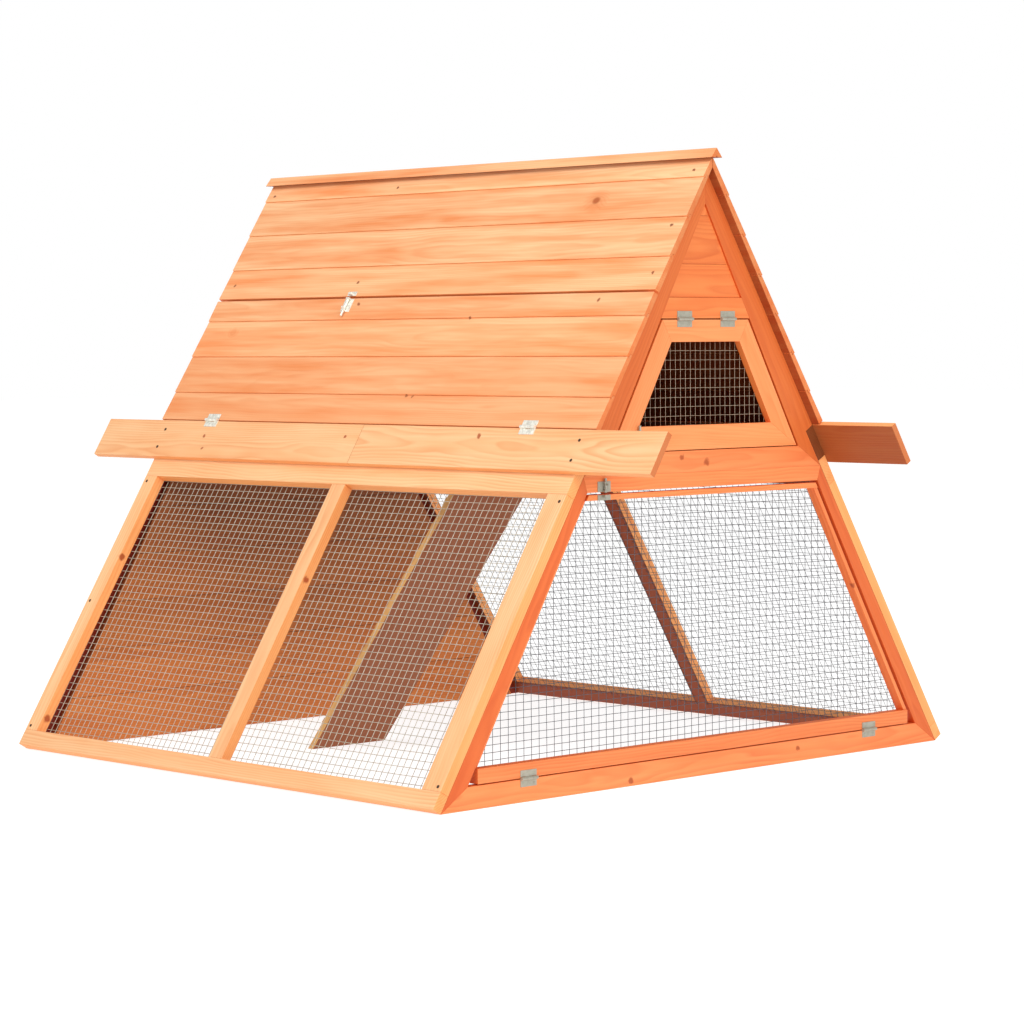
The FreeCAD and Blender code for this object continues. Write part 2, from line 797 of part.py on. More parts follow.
def leaf_master(name, side, knuckle_starts):
    """One leaf: a plate, and a rolled knuckle with its tab at each start."""
    near, far = f"{side} * leaf_start", f"{side} * (leaf_start + leaf_width)"
    low, high = (near, far) if side > 0 else (far, near)
    solids = [box(f"{name}_plate", ("-hinge_length / 2", low, "0"),
                  ("hinge_length / 2", high, "leaf_thick"))]
    for i, start in enumerate(knuckle_starts):
        tab = sorted(("0", f"{side} * (leaf_start + 0.1)"), key=number)
        solids.append(box(f"{name}_tab_{i}", (start, tab[0], "0"),
                          (f"{start} + knuckle", tab[1], "leaf_thick")))
        solids.append(cylinder(f"{name}_knuckle_{i}", "barrel_radius", "knuckle",
                               (start, "0", "barrel_centre"), "x"))
    bore = cylinder(f"{name}_bore", "pin_radius + pin_clear", "hinge_length + 2",
                    ("-hinge_length / 2 - 1", "0", "barrel_centre"), "x")
    return cut(name, fuse(f"{name}_solid", *solids), bore)


def hinges():
    outer = ("-hinge_length / 2", "hinge_length / 2 - knuckle")
    fixed = leaf_master("fixed_leaf", -1, outer)
    moving = leaf_master("moving_leaf", 1, ("-knuckle / 2",))
    pin = cylinder("hinge_pin", "pin_radius", "hinge_length",
                   ("-hinge_length / 2", "0", "barrel_centre"), "x")
    screw = cylinder("hinge_screw", "screw_radius", "screw_height", ("0", "0", "0"), "z")
    doors = {
        "run_door": (FRONT, "door_hinge_offset", "sill_height + hinge_seam / 2", "0", 0),
        "hatch": (FRONT, "hatch_hinge_offset", "hatch_head + hinge_seam / 2", "0", 180),
        "roof_door": (LEFT, "roof_hinge_offset", "roof_seam", "handle_thick", 0),
    }
    fixed_leaves, pins, fixed_screws = [], [], []
    for door, (face, offset, height, lift, spin) in doors.items():
        moving_leaves, moving_screws = [], []
        for hand, sign in (("near", "-"), ("far", "")):
            spot = on_face(face, f"{sign}{offset}", height, lift, spin)
            key = f"{door}_{hand}"
            fixed_leaves.append(placed(f"{key}_fixed_leaf", fixed, spot))
            moving_leaves.append(placed(f"{key}_moving_leaf", moving, spot))
            pins.append(placed(f"{key}_pin", pin, spot))
            fixed_screws += leaf_screws(f"{key}_fixed", screw, spot, "-leaf_middle")
            moving_screws += leaf_screws(f"{key}_moving", screw, spot, "leaf_middle")
        node(f"{door}_hinge_leaves", *moving_leaves)
        node(f"{door}_hinge_screws", *moving_screws)
    node("fixed_hinge_leaves", *fixed_leaves)
    node("hinge_pins", *pins)
    node("fixed_hinge_screws", *fixed_screws)


def leaf_screws(key, master, spot, across):
    """Two screw heads on one leaf."""
    return [placed(f"{key}_screw_{i}", master,
                   on_face(spot, f"{sign}hinge_screw_spread", across, "leaf_thick"))
            for i, sign in enumerate(("-", ""))]


# ---------------------------------------------------------------- barrel bolts
# Local y is the way the rod slides, z outwards.  The rods are drawn back at rest.

def bolt_case(name, width, length):
    """A plate with a guide at each end for the rod."""
    plate = box(f"{name}_plate", (f"-{width} / 2", "0", "0"),
                (f"{width} / 2", length, "bolt_plate"))
    guides = [box(f"{name}_guide_{i}", ("-guide_width / 2", start, "0"),
                  ("guide_width / 2", f"{start} + guide_length", "guide_height"))
              for i, start in enumerate(("0", f"{length} - guide_length"))]
    bore = cylinder(f"{name}_bore", "rod_radius + rod_clear", f"{length} + 2",
                    ("0", "-1", "rod_centre"), "y")
    return cut(name, fuse(f"{name}_solid", plate, *guides), bore)


def bolt_rod(name, length, throw):
    """The sliding rod and its knob, which stands between the guides.

    The rod's tail is long enough to stay in the rear guide when the bolt is shut.
    """
    tail = f"{throw} - guide_length / 2"
    rod = cylinder(f"{name}_rod", "rod_radius", f"{tail} + {length} + rod_tip",
                   ("0", f"-({tail})", "rod_centre"), "y")
    knob = cylinder(f"{name}_knob", "knob_radius", "knob_height",
                    ("0", "guide_length + knob_clear + knob_radius", "rod_centre"), "z")
    return fuse(name, rod, knob)


def bolt_keeper(name, width, length, reach):
    """The loop that the rod slides into."""
    start = f"{length} + {reach}"
    plate = box(f"{name}_plate", (f"-{width} / 2", start, "0"),
                (f"{width} / 2", f"{start} + keeper_length", "bolt_plate"))
    loop = box(f"{name}_loop", ("-guide_width / 2", start, "0"),
               ("guide_width / 2", f"{start} + keeper_loop", "guide_height"))
    bore = cylinder(f"{name}_bore", "rod_radius + keeper_clear", "keeper_length + 2",
                    ("0", f"{start} - 1", "rod_centre"), "y")
    return cut(name, fuse(f"{name}_solid", plate, loop), bore)


def bolts():
    """The run door's bolt is on the rail above it; the others are on their own doors."""
    door_end = "run_head + door_bolt_edge + door_case"
    hatch_end = "hatch_foot + bolt_edge + hatch_case"
    hatch_x = f"hatch_bolt_inset - ({rafter_edge('hatch_foot', 'hatch_side_gap')[0]})"
    roof_end = "roof_split - bolt_edge - roof_case"
    spots = {
        "run_door": (on_face(FRONT, "door_bolt_offset", door_end, "0", 180), "door"),
        "hatch": (on_face(FRONT, hatch_x, hatch_end, "0", 180), "hatch"),
        "roof_door": (on_face(LEFT, "-roof_bolt_along", roof_end, "roof_butt"), "roof"),
    }
    keepers = {}
    for door, (spot, kind) in spots.items():
        width, length = f"{kind}_plate", f"{kind}_case"
        case = bolt_case(f"{door}_case_master", width, length)
        rod = bolt_rod(f"{door}_rod_master", length, f"{kind}_throw")
        keeper = bolt_keeper(f"{door}_keeper_master", width, length, f"{kind}_reach")
        node(f"{door}_bolt_case", placed(f"{door}_case_placed", case, spot))
        node(f"{door}_bolt", placed(f"{door}_rod_placed", rod, spot))
        keepers[door] = placed(f"{door}_keeper_placed", keeper, spot)
    node("run_door_bolt_keeper", keepers["run_door"])
    node("bolt_keepers", keepers["hatch"], keepers["roof_door"])


# ---------------------------------------------------------------- wood screws

def wood_screws():
    """Screw heads on the handle boards over the rafters and on the panels' stiles."""
    head = cylinder("wood_screw", "wood_screw_radius", "screw_height", ("0", "0", "0"), "z")
    end = "gable_length / 2 - gable_thick / 2"
    handle = [(f"{sign}({end})", f"handle_foot + handle_width * {share}", "handle_thick")
              for sign in ("-", "") for share in ("0.26", "0.74")]
    front = [(f"-({end})", "side_open_foot + 8", "0"),
             (f"-({end})", "side_open_head - 14", "0")]
    rear = [(end, "side_open_foot + 8", "0"), (end, "side_open_head - 12", "0"),
            (end, "(side_open_foot + side_open_head) / 2", "0")]
    heads = []
    for side, face, sign in (("left", LEFT, "-"), ("right", RIGHT, "")):
        for i, (along, up, out) in enumerate(handle + front + rear):
            spot = on_face(face, f"{sign}({along})", up, out)
            heads.append(placed(f"{side}_wood_screw_{i}", head, spot))
    node("frame_screws", *heads)


# ---------------------------------------------------------------- the whole coop

side_panel_rails()
side_panel_stiles()
run_gable("front", "front_y", "front_y + gable_thick")
run_gable("rear", "inner_y", "rear_y")
rear_wall()
house_gable("front", "front_y", "front_y + gable_thick")
house_gable("rear", "inner_y", "rear_y")
front_gable_boards()
rear_gable_boards()
house_side_rails()
purlin()
floor()
ramp()
roof()
roof_door_battens()
ridge_cap()
handle_boards()
run_door()
hatch()
side_meshes()
gable_meshes()
hinges()
bolts()
wood_screws()
doc.recompute()

for thing in doc.Objects:
    if "Invalid" in thing.State or "Error" in thing.State:
        raise RuntimeError(f"{thing.Label} is {thing.State}")
for name, piece in nodes.items():
    if piece.Shape.isNull() or not piece.Shape.isValid() or not piece.Shape.Solids:
        raise RuntimeError(f"{name} has no valid solid")

os.makedirs("parts", exist_ok=True)
for name, piece in nodes.items():
    piece.Shape.exportStep(os.path.join("parts", name + ".step"))
print(f"{len(nodes)} nodes, {number('ridge_top'):.1f} mm to the top of the ridge cap")
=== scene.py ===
import json
import math
import random

import bmesh
import bpy
from mathutils import Matrix, Vector, noise


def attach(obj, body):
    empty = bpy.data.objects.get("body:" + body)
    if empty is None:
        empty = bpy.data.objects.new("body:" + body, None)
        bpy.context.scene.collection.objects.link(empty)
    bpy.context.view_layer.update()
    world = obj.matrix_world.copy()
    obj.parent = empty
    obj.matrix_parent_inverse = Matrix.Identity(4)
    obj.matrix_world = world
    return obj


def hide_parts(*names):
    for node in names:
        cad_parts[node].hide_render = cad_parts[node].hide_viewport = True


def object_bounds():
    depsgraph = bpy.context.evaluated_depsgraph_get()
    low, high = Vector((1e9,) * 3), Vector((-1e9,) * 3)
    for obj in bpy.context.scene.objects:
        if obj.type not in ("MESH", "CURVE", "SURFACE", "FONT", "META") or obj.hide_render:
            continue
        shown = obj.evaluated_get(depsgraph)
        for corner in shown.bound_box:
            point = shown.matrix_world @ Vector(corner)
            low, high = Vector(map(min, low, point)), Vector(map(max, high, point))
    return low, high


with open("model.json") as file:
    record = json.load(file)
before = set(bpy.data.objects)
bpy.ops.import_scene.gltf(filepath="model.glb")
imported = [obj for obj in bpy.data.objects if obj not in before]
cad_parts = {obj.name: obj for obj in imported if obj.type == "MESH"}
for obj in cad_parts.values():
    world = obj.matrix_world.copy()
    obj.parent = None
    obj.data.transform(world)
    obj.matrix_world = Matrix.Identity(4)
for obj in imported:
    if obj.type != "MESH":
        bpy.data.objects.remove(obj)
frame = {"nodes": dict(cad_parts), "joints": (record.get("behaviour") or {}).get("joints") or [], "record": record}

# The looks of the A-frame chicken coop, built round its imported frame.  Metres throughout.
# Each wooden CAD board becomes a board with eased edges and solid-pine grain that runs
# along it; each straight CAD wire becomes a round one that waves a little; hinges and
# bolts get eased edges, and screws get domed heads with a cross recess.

CAD_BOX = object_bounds()
LOW, HIGH = (Vector(corner) for corner in CAD_BOX)
NODES = frame["nodes"]
BODY_OF = {node: body for body, nodes in frame["record"]["behaviour"]["bodies"].items()
           for node in nodes}
JOINTS = {joint["name"]: joint for joint in frame["joints"]}
SLOPE_UP = Vector(JOINTS["roof_door_bolt"]["axis"])     # up the left slope

WELD = 1e-5                 # corners closer than this are one corner
FLAT_TURN = math.radians(0.4)       # faces that turn less than this are one face
SHARP_TURN = math.radians(28)       # edges that turn more than this are eased
SMOOTH_TURN = 35            # degrees up to which shading runs on over an edge
SQUARE = 0.9                # how near two directions are when their product is this
WOOD_EDGE = 0.0009          # how far a board's edges are eased
GABLE_EDGE = WOOD_EDGE * 0.6
METAL_EDGE = 0.00022
SIDE_WIRE_RADIUS = 0.00058
DOOR_WIRE_RADIUS = 0.0005
FAR_WIRE_RADIUS = 0.0004
HATCH_WIRE_RADIUS = 0.0003
WIRE_SIDES = 6
WIRE_STEP = 0.014           # length of one span of a wavy wire
WAVE = 0.0011               # how far a wire strays in its panel
WAVE_LENGTH = 0.17
BULGE = 0.0009              # how far a panel of mesh bellies
JITTER = WAVE * 0.2         # how far one wire strays from its neighbours
JITTER_LENGTH = 0.02
SIDE_SHIFT, RISE_SHIFT, BELLY_SHIFT = (Vector((11.3, 0, 0)), Vector((0, 23.7, 0)),
                                       Vector((0, 0, 31.9)))


def srgb(red, green, blue):
    """A colour given as 0-255 screen values, as linear light."""
    def linear(value):
        value /= 255
        return value / 12.92 if value <= 0.04045 else ((value + 0.055) / 1.055) ** 2.4
    return (linear(red), linear(green), linear(blue), 1.0)


# ---------------------------------------------------------------- shader helper

class Shader:
    """Builds a node material; every method returns the output socket it makes."""

    def __init__(self, name):
        self.material = bpy.data.materials.new(name)
        self.material.use_nodes = True
        self.tree = self.material.node_tree
        self.tree.nodes.clear()

    def add(self, kind, settings=(), **inputs):
        node = self.tree.nodes.new("ShaderNode" + kind)
        for key, value in dict(settings).items():
            setattr(node, key, value)
        for key, value in inputs.items():
            self.feed(node.inputs[key.replace("_", " ")], value)
        return node

    def feed(self, socket, value):
        if isinstance(value, bpy.types.NodeSocket):
            self.tree.links.new(value, socket)
        else:
            socket.default_value = value

    def maths(self, operation, *values, clamp=False):
        node = self.tree.nodes.new("ShaderNodeMath")
        node.operation = operation
        node.use_clamp = clamp
        for socket, value in zip(node.inputs, values):
            self.feed(socket, value)
        return node.outputs[0]

    def vector(self, operation, *values):
        node = self.tree.nodes.new("ShaderNodeVectorMath")
        node.operation = operation
        for socket, value in zip(node.inputs, values):
            self.feed(socket, value)
        return node.outputs["Value" if operation in ("LENGTH", "DISTANCE") else "Vector"]

    def combine(self, x, y, z):
        return self.add("CombineXYZ", X=x, Y=y, Z=z).outputs[0]

    def attribute(self, name, output="Vector"):
        return self.add("Attribute", {"attribute_name": name}).outputs[output]

    def split(self, vector):
        return self.add("SeparateXYZ", Vector=vector).outputs

    def noise(self, vector, scale=1.0, detail=2.0, roughness=0.5):
        node = self.add("TexNoise", Vector=vector, Scale=scale, Detail=detail,
                        Roughness=roughness)
        return node.outputs["Fac"]

    def scaled(self, value, low, high, to_low=0.0, to_high=1.0):
        node = self.add("MapRange", {"clamp": True}, Value=value, From_Min=low,
                        From_Max=high, To_Min=to_low, To_Max=to_high)
        return node.outputs["Result"]

    def mix(self, factor, first, second, blend="MIX"):
        node = self.tree.nodes.new("ShaderNodeMix")
        node.data_type = "RGBA"
        node.blend_type = blend
        self.feed(node.inputs[0], factor)
        self.feed(node.inputs[6], first)
        self.feed(node.inputs[7], second)
        return node.outputs[2]

    def finish(self, **surface):
        shader = self.add("BsdfPrincipled", **surface)
        output = self.add("OutputMaterial")
        self.tree.links.new(shader.outputs[0], output.inputs["Surface"])
        return self.material


# ---------------------------------------------------------------- materials

RING_WIDTH = 0.0042         # from one year ring to the next
KNOT_CELL = 0.125           # a board has about one place for a knot in each such length
DARK_KNOT = srgb(122, 50, 18)
RED_KNOT = srgb(168, 74, 30)
# Middle and size, in metres, of the knots and nail holes that stand out.
SLOPE_KNOTS = (((-0.4301, -0.014, 0.3344), 0.007), ((-0.4231, 0.5425, 0.349), 0.007),
               ((-0.6, 0.5425, 0.056), 0.008), ((-0.3041, 0.4383, 0.5772), 0.004),
               ((-0.3178, 0.4273, 0.5551), 0.004), ((-0.296, -0.3206, 0.5904), 0.005),
               ((-0.3008, 0.0293, 0.5825), 0.004))
GABLE_KNOTS = (((-0.0614, -0.5775, 0.5526), 0.006), ((0.001, -0.5775, 0.542), 0.0075),
               ((-0.145, -0.5775, 0.5333), 0.005), ((-0.1901, -0.5775, 0.0087), 0.007),
               ((0.2358, -0.5775, 0.0233), 0.006), ((0.3883, -0.5755, 0.3041), 0.007))
ROOF_KNOTS = (((-0.0161, 0.5724, 1.0416), 0.004), ((-0.0148, 0.2042, 1.0438), 0.0035),
              ((-0.1257, 0.5645, 0.8642), 0.004), ((-0.126, 0.1935, 0.8637), 0.004),
              ((-0.1515, 0.1615, 0.8225), 0.004), ((-0.0735, -0.5668, 0.9486), 0.004),
              ((-0.1242, -0.5714, 0.8666), 0.0035), ((-0.2541, -0.0846, 0.6563), 0.004),
              ((-0.2545, -0.1012, 0.6556), 0.004), ((-0.0153, -0.5651, 1.0429), 0.0035),
              ((-0.152, -0.4698, 0.8216), 0.0045), ((-0.169, -0.1621, 0.7941), 0.004))


def knots_at(s, place, seed):
    """Distance to the nearest knot's middle in metres, and that knot's random value."""
    where = s.vector("MULTIPLY", place, (0.8 / KNOT_CELL, 1 / KNOT_CELL, 0.0))
    where = s.vector("ADD", where, seed)
    cells = s.add("TexVoronoi", {"feature": "F1"}, Vector=where, Scale=1.0, Randomness=0.9)
    distance = s.maths("MULTIPLY", cells.outputs["Distance"], KNOT_CELL)
    return distance, s.split(cells.outputs["Color"])[0]


def marked(s, knots):
    """How much of a point lies in one of the listed knots."""
    place = s.add("TexCoord").outputs["Object"]
    uneven = s.maths("MULTIPLY", s.maths("SUBTRACT", s.noise(place, scale=110.0), 0.5), 0.007)
    place = s.vector("ADD", place, s.combine(uneven, uneven, uneven))
    cover = 0.0
    for spot, size in knots:
        away = s.vector("DISTANCE", place, spot)
        cover = s.maths("MAXIMUM", cover, s.scaled(away, size * 1.15, size * 0.6))
    return cover


def wood(name, pale, warm, deep, rarity, knots=(), knot=DARK_KNOT, rings=0.62, shade=None,
         streaks=(0.30, 0.72)):
    """Glazed pine.  The grain attribute is a place in the board: along, across, through.

    The end attribute is how dark a cut end is, and the inside attribute runs from 0 on a face
    turned out of the coop to 1 on one turned into it; by it the colour takes painted shade,
    an orange tint on faces turned sideways and a deep brown on faces turned in.  Rings is how
    strongly the year rings show, and shade is a colour that the wood takes on between
    two heights, and how much of it: painted shade on the inner wood, darker towards the top,
    and a deeper orange towards the foot on the roof boards.
    """
    s = Shader(name)
    place = s.attribute("grain")
    luck = s.attribute("board")
    end = s.attribute("end", "Fac")
    inside_shade = s.attribute("inside_shade", "Fac")
    along, across, through = s.split(place)
    first, second, third = s.split(luck)
    seed = s.vector("MULTIPLY", luck, (37.0, 53.0, 71.0))

    # Knots, and the halo of bent grain round each.
    distance, chance = knots_at(s, place, seed)
    present = s.maths("GREATER_THAN", chance, rarity)
    size = s.scaled(chance, rarity, 1.0, 0.0028, 0.0075)
    near = s.maths("DIVIDE", distance, size)
    eye = s.maths("MULTIPLY", s.scaled(near, 1.25, 0.75), present)
    halo = s.maths("MULTIPLY", s.scaled(near, 3.6, 0.9), present)

    # Year rings round a pith that lies outside the board.
    stretched = s.vector("MULTIPLY", place, (1.7, 9.0, 9.0))
    slow = s.noise(s.vector("ADD", stretched, seed), detail=3.0)
    bend = s.maths("MULTIPLY", s.maths("SUBTRACT", slow, 0.5), 0.045)
    swell = s.maths("MULTIPLY", halo, 0.010)
    pith = s.combine(0.0, s.maths("SUBTRACT", across, s.scaled(first, 0, 1, -0.06, 0.06)),
                     s.maths("ADD", through, s.scaled(second, 0, 1, 0.012, 0.07)))
    radius = s.maths("ADD", s.maths("ADD", s.vector("LENGTH", pith), bend), swell)
    ring = s.maths("FRACT", s.maths("DIVIDE", radius, RING_WIDTH))
    late = s.maths("MULTIPLY", s.scaled(ring, 0.25, 0.85), s.scaled(ring, 1.0, 0.86))

    def streak(stretch, fineness, detail):
        spot = s.vector("MULTIPLY", place, (stretch, fineness, fineness))
        return s.noise(s.vector("ADD", spot, seed), detail=detail, roughness=0.6)

    # Streaks along the board, and slow clouds over it.
    broad = s.scaled(streak(2.2, 38.0, 3.0), *streaks)
    fine = s.scaled(streak(5.0, 210.0, 2.0), 0.25, 0.75)
    cloud = s.scaled(s.noise(s.vector("ADD", place, seed), scale=6.0), 0.35, 0.7)

    # The glazed colour, board by board, where it is marked, and its painted shade by height and by how far a face
    # is turned in.
    colour = s.mix(broad, pale, warm)
    strength = s.maths("MULTIPLY", late, s.scaled(cloud, 0, 1, rings / 3, rings))
    colour = s.mix(strength, colour, deep)
    blotch = s.scaled(streak(4.0, 17.0, 2.0), 0.52, 0.7, 0.0, 0.45)
    colour = s.mix(blotch, colour, pale)
    colour = s.mix(s.scaled(fine, 0, 1, 0.0, 0.22), colour, warm)
    colour = s.mix(s.maths("MULTIPLY", halo, 0.5), colour, deep)
    colour = s.mix(s.maths("MULTIPLY", eye, 0.85), colour, KNOT_BROWN)
    tone = s.scaled(third, 0, 1, 0.93, 1.05)
    colour = s.vector("SCALE", colour)
    s.feed(colour.node.inputs["Scale"], tone)
    if knots:
        colour = s.mix(s.maths("MULTIPLY", marked(s, knots), 0.88), colour, knot)
    colour = s.mix(end, colour, END_BROWN)
    # Painted shade by height: the inner wood darkens towards the top, under the roof. The roof boards take a
    # deeper orange towards their foot.
    if shade:
        shade_colour, start, stop, most = shade
        rise = s.split(s.add("TexCoord").outputs["Object"])[2]
        colour = s.mix(s.scaled(rise, start, stop, 0.0, most), colour, shade_colour)
    # Painted shade: faces turned sideways take an orange tint and faces turned into the coop a deep brown, for the
    # light they lack.
    painted_shade = s.mix(s.scaled(inside_shade, 0.1, 0.5), (1.0, 1.0, 1.0, 1.0), PAINTED_SIDE_SHADE)
    painted_shade = s.mix(s.scaled(inside_shade, 0.5, 0.9), painted_shade, PAINTED_INSIDE_SHADE)
    colour = s.mix(1.0, colour, painted_shade, "MULTIPLY")

    # The raised grain.
    height = s.maths("SUBTRACT", s.maths("MULTIPLY", fine, 0.5), s.maths("MULTIPLY", late, 0.5))
    bump = s.add("Bump", Strength=0.16, Distance=0.0006, Height=height)
    rough = s.scaled(fine, 0, 1, 0.44, 0.62)
    return s.finish(Base_Color=colour, Roughness=rough, Normal=bump.outputs[0],
                    Specular_IOR_Level=0.35)


# Fittings on the roof's slope take the zinc's painted highlight.
SLOPE_FROM = LOW.y + 0.21   # fittings further back than this lie on the roof's slope


def zinc(name, bright, dull, worn, metallic):
    """Zinc plate with faint mottling and rolling marks; fittings on the roof's slope take the bright colour as a
    painted highlight, those on the front gable the dull one as painted shade.
    """
    s = Shader(name)
    place = s.add("TexCoord").outputs["Object"]
    mottle = s.noise(place, scale=160.0, detail=3.0)
    grain = s.noise(place, scale=1400.0, detail=1.0)
    lit_on_slope = s.maths("GREATER_THAN", s.split(place)[1], SLOPE_FROM)
    colour = s.mix(lit_on_slope, dull, bright)
    shade = s.mix(s.scaled(mottle, 0.35, 0.7, 0.0, 0.5), colour, worn)
    roughness = s.scaled(mottle, 0.3, 0.7, 0.3, 0.5)
    bump = s.add("Bump", Strength=0.12, Distance=0.0002, Height=grain)
    return s.finish(Base_Color=shade, Metallic=metallic, Roughness=roughness,
                    Normal=bump.outputs[0])


def galvanised(name, bright, dull):
    """Grey wire with spangle along it."""
    s = Shader(name)
    place = s.add("TexCoord").outputs["Object"]
    spangle = s.noise(place, scale=420.0, detail=2.0)
    shade = s.mix(s.scaled(spangle, 0.3, 0.7), bright, dull)
    return s.finish(Base_Color=shade, Roughness=s.scaled(spangle, 0.3, 0.7, 0.42, 0.6))


KNOT_BROWN = srgb(176, 84, 34)
END_BROWN = srgb(178, 88, 40)
# The painted shade that the inner wood takes on towards the top.
SHADE_BROWN = srgb(74, 34, 16)
# Painted shade, multiplied onto faces turned sideways and onto faces turned into the coop.
PAINTED_SIDE_SHADE = srgb(255, 226, 190)
PAINTED_INSIDE_SHADE = srgb(150, 86, 44)
# The slope wood is pale and the gable wood deeper orange, with the leg and rafter wood deeper still: partly the
# glaze's tone, partly painted light, with the slopes as lit and the gables, legs and rafters as in shade.
SLOPE_WOOD = wood("slope_wood", srgb(250, 202, 151), srgb(246, 178, 121),
                  srgb(228, 140, 80), 0.88, SLOPE_KNOTS, RED_KNOT)
ROOF_WOOD = wood("roof_wood", srgb(252, 199, 148), srgb(240, 148, 88),
                 srgb(222, 126, 64), 0.90, ROOF_KNOTS, rings=0.36,
                 shade=(srgb(238, 142, 82), 0.95, 0.58, 0.42), streaks=(0.38, 0.66))
GABLE_WOOD = wood("gable_wood", srgb(249, 149, 87), srgb(240, 126, 66),
                  srgb(215, 97, 45), 0.9, GABLE_KNOTS, RED_KNOT)
LEG_WOOD = wood("leg_wood", srgb(226, 114, 54), srgb(214, 96, 40),
                srgb(194, 74, 26), 0.9, rings=0.5)
HATCH_WOOD = wood("hatch_wood", srgb(249, 157, 97), srgb(241, 136, 76),
                  srgb(216, 108, 52), 0.9, rings=0.4)
PEAK_WOOD = wood("peak_wood", srgb(242, 141, 75), srgb(230, 118, 55),
                 srgb(204, 90, 38), 0.92)
RAFTER_WOOD = wood("rafter_wood", srgb(220, 116, 54), srgb(208, 98, 40),
                   srgb(188, 78, 28), 0.92, rings=0.4)
INNER_WOOD = wood("inner_wood", srgb(222, 148, 86), srgb(204, 124, 66),
                  srgb(176, 96, 44), 0.9, shade=(SHADE_BROWN, 0.1, 0.5, 0.74))
RAMP_WOOD = wood("ramp_wood", srgb(222, 176, 114), srgb(212, 158, 92),
                 srgb(190, 130, 70), 0.9)
# Zinc: near white on the slope as a painted highlight, duller on the front gable as painted shade.
ZINC = zinc("zinc", srgb(255, 252, 240), srgb(176, 172, 156), srgb(150, 146, 130), 0.35)
DARK_STEEL = zinc("dark_steel", srgb(84, 58, 40), srgb(84, 58, 40), srgb(60, 40, 26), 0.3)
# The wire comes in lit and shaded copies, painted light: cream on the left panels and the hatch as if lit, dark
# grey on the right panels and the run door as if in shade.
LIT_SIDE_WIRE = galvanised("lit_side_wire", srgb(206, 194, 174), srgb(160, 150, 134))
SHADED_WIRE = galvanised("shaded_wire", srgb(92, 92, 98), srgb(66, 66, 72))
LIT_HATCH_WIRE = galvanised("lit_hatch_wire", srgb(214, 190, 164), srgb(170, 148, 126))


# ---------------------------------------------------------------- reading the frame

def solids_of(node):
    """The separate solids of a CAD node, each as a welded bmesh.

    Triangles come solid by solid, so a solid ends where no edge of it is left open.
    """
    mesh = NODES[node].data
    corners = [vertex.co for vertex in mesh.vertices]
    key = [tuple(round(value, 6) for value in corner) for corner in corners]
    solids, faces, loose = [], [], set()
    for polygon in mesh.polygons:
        ring = list(polygon.vertices)
        faces.append(ring)
        for start, stop in zip(ring, ring[1:] + ring[:1]):
            edge, twin = (key[start], key[stop]), (key[stop], key[start])
            if twin in loose:
                loose.discard(twin)
            else:
                loose.add(edge)
        if not loose:
            solids.append(welded(corners, faces))
            faces = []
    return solids


def welded(corners, faces):
    """One solid as a bmesh with its corners joined and its flat faces whole."""
    bm = bmesh.new()
    used = {index: bm.verts.new(corners[index]) for face in faces for index in face}
    for face in faces:
        bm.faces.new([used[index] for index in face])
    bmesh.ops.remove_doubles(bm, verts=bm.verts, dist=WELD)
    bmesh.ops.dissolve_limit(bm, angle_limit=FLAT_TURN, verts=bm.verts,
                             edges=bm.edges)
    bmesh.ops.recalc_face_normals(bm, faces=bm.faces)
    return bm


def middle(bm):
    """The middle of a solid's box."""
    low = Vector(min(v.co[i] for v in bm.verts) for i in range(3))
    high = Vector(max(v.co[i] for v in bm.verts) for i in range(3))
    return (low + high) / 2


def ease(bm, width, segments):
    """Rounds every sharp edge by a small bevel."""
    sharp = [e for e in bm.edges if len(e.link_faces) == 2
             and e.calc_face_angle() > SHARP_TURN]
    bmesh.ops.bevel(bm, geom=sharp, offset=width, offset_type="OFFSET", segments=segments,
                    profile=0.5, affect="EDGES", clamp_overlap=True)


def joined(name, parts):
    """One mesh of several bmeshes, with what the boards note on corners and faces."""
    corners, rings = [], []
    notes = {"grain": [], "board": [], "end": [], "inside_shade": []}
    for part in parts:
        start = len(corners)
        part.verts.index_update()
        corners += [vertex.co.copy() for vertex in part.verts]
        rings += [[start + vertex.index for vertex in face.verts] for face in part.faces]
        for key in ("grain", "board"):
            layer = part.verts.layers.float_vector.get(key)
            if layer:
                notes[key] += [number for vertex in part.verts for number in vertex[layer]]
        for key in ("end", "inside_shade"):
            layer = part.faces.layers.float.get(key)
            if layer:
                notes[key] += [face[layer] for face in part.faces]
        part.free()
    mesh = bpy.data.meshes.new(name)
    mesh.from_pydata(corners, [], rings)
    if notes["grain"]:
        for key in ("grain", "board"):
            mesh.attributes.new(key, "FLOAT_VECTOR", "POINT").data.foreach_set(
                "vector", notes[key])
        for key in ("end", "inside_shade"):
            mesh.attributes.new(key, "FLOAT", "FACE").data.foreach_set("value", notes[key])
    return mesh


def piece(name, parts, material, node):
    """Joins bmeshes into one object that rides its node's body and stands for the node."""
    mesh = joined(name, parts)
    mesh.materials.append(material)
    obj = bpy.data.objects.new(name, mesh)
    bpy.context.scene.collection.objects.link(obj)
    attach(obj, BODY_OF[node])
    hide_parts(node)
    return obj


def smooth(obj, angle=SMOOTH_TURN):
    """Smooth shading that keeps the sharp edges and the flats flat."""
    obj.data.shade_smooth()
    obj.data.set_sharp_from_angle(angle=math.radians(angle))
    weighted = obj.modifiers.new("flats", "WEIGHTED_NORMAL")
    weighted.keep_sharp = True


# ---------------------------------------------------------------- wood

